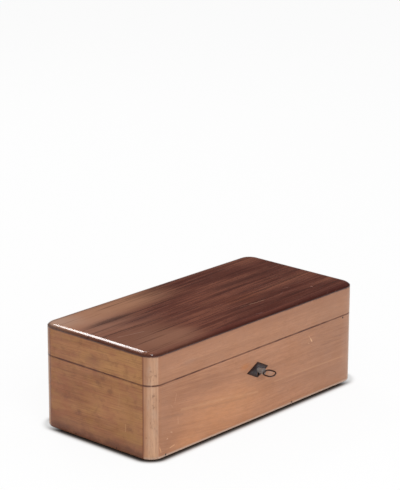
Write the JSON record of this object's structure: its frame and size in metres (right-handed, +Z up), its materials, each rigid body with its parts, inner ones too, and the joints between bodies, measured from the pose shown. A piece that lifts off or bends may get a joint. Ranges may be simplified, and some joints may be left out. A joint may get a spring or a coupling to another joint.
{
  "type": "wooden microscope case",
  "caption": "Low wooden case with rounded corners, a hinged lid, a box lock with its key, and fittings that hold a microscope lying down.",
  "frame": {"origin": "middle of the case's underside, where the bottom board meets the surface it stands on", "axes": "+X along the length, to the right as seen from the lock's side; +Y from the lock's side to the hinges; +Z up"},
  "size_m": [0.27, 0.148, 0.093],
  "materials": {
    "wall_wood": "satin polish over mahogany",
    "end_wood": "satin polish over mahogany",
    "post_wood": "satin polish over upright grain",
    "top_wood": "glossy dark polish",
    "inside_wood": "unpolished",
    "brass": "dull brass",
    "dark_iron": "blackened",
    "steel": "worn steel",
    "baize": "felted baize"
  },
  "bodies": {
    "case": {"case_front_wall": "wall_wood", "case_back_wall": "wall_wood", "case_left_wall": "end_wood", "case_right_wall": "end_wood", "case_post_front_left": "post_wood", "case_post_front_right": "post_wood", "case_post_back_left": "post_wood", "case_post_back_right": "post_wood", "base_board": "inside_wood", "base_pins": "dark_iron", "hinge_left_case_leaf": "brass", "hinge_left_pin": "brass", "hinge_right_case_leaf": "brass", "hinge_right_pin": "brass", "hinge_case_screws": "brass", "lock_case": "brass", "lock_cap": "brass", "lock_selvedge": "brass", "lock_spring": "steel", "lock_drill_pin": "steel", "lock_screws": "brass", "escutcheon": "dark_iron", "escutcheon_pins": "dark_iron", "foot_chock_front": "inside_wood", "foot_chock_back": "inside_wood", "foot_board": "inside_wood", "stage_cradle": "inside_wood", "stage_baize": "baize", "tube_cradle": "inside_wood", "tube_baize": "baize", "trough_divider": "inside_wood", "trough_cross_left": "inside_wood", "trough_cross_right": "inside_wood"},
    "lid": {"lid_top_panel": "top_wood", "lid_front_wall": "wall_wood", "lid_back_wall": "wall_wood", "lid_left_wall": "end_wood", "lid_right_wall": "end_wood", "lid_post_front_left": "post_wood", "lid_post_front_right": "post_wood", "lid_post_back_left": "post_wood", "lid_post_back_right": "post_wood", "hinge_left_lid_leaf": "brass", "hinge_right_lid_leaf": "brass", "hinge_lid_screws": "brass", "link_plate": "brass", "link_plate_screws": "brass", "lid_block": "inside_wood", "lid_block_pad": "baize"},
    "key": {"key": "steel"},
    "bolt": {"lock_bolt": "steel"}
  },
  "joints": [
    {"name": "lid_hinge", "type": "hinge", "parent": "case", "child": "lid", "pos_m": [0, 0.061, 0.065], "axis": [-1, 0, 0], "range_deg": [0, 95]},
    {"name": "key_turn", "type": "hinge", "parent": "case", "child": "key", "pos_m": [-0.0012, -0.078, 0.0452], "axis": [0, -1, 0], "range_deg": [0, 144]},
    {"name": "bolt_slide", "type": "slide", "parent": "case", "child": "bolt", "axis": [-1, 0, 0], "range_m": [0, 0.008]}
  ],
  "couplings": [
    {"joint": "key_turn", "follows": "bolt_slide", "rad_per_m": 314.15}
  ]
}
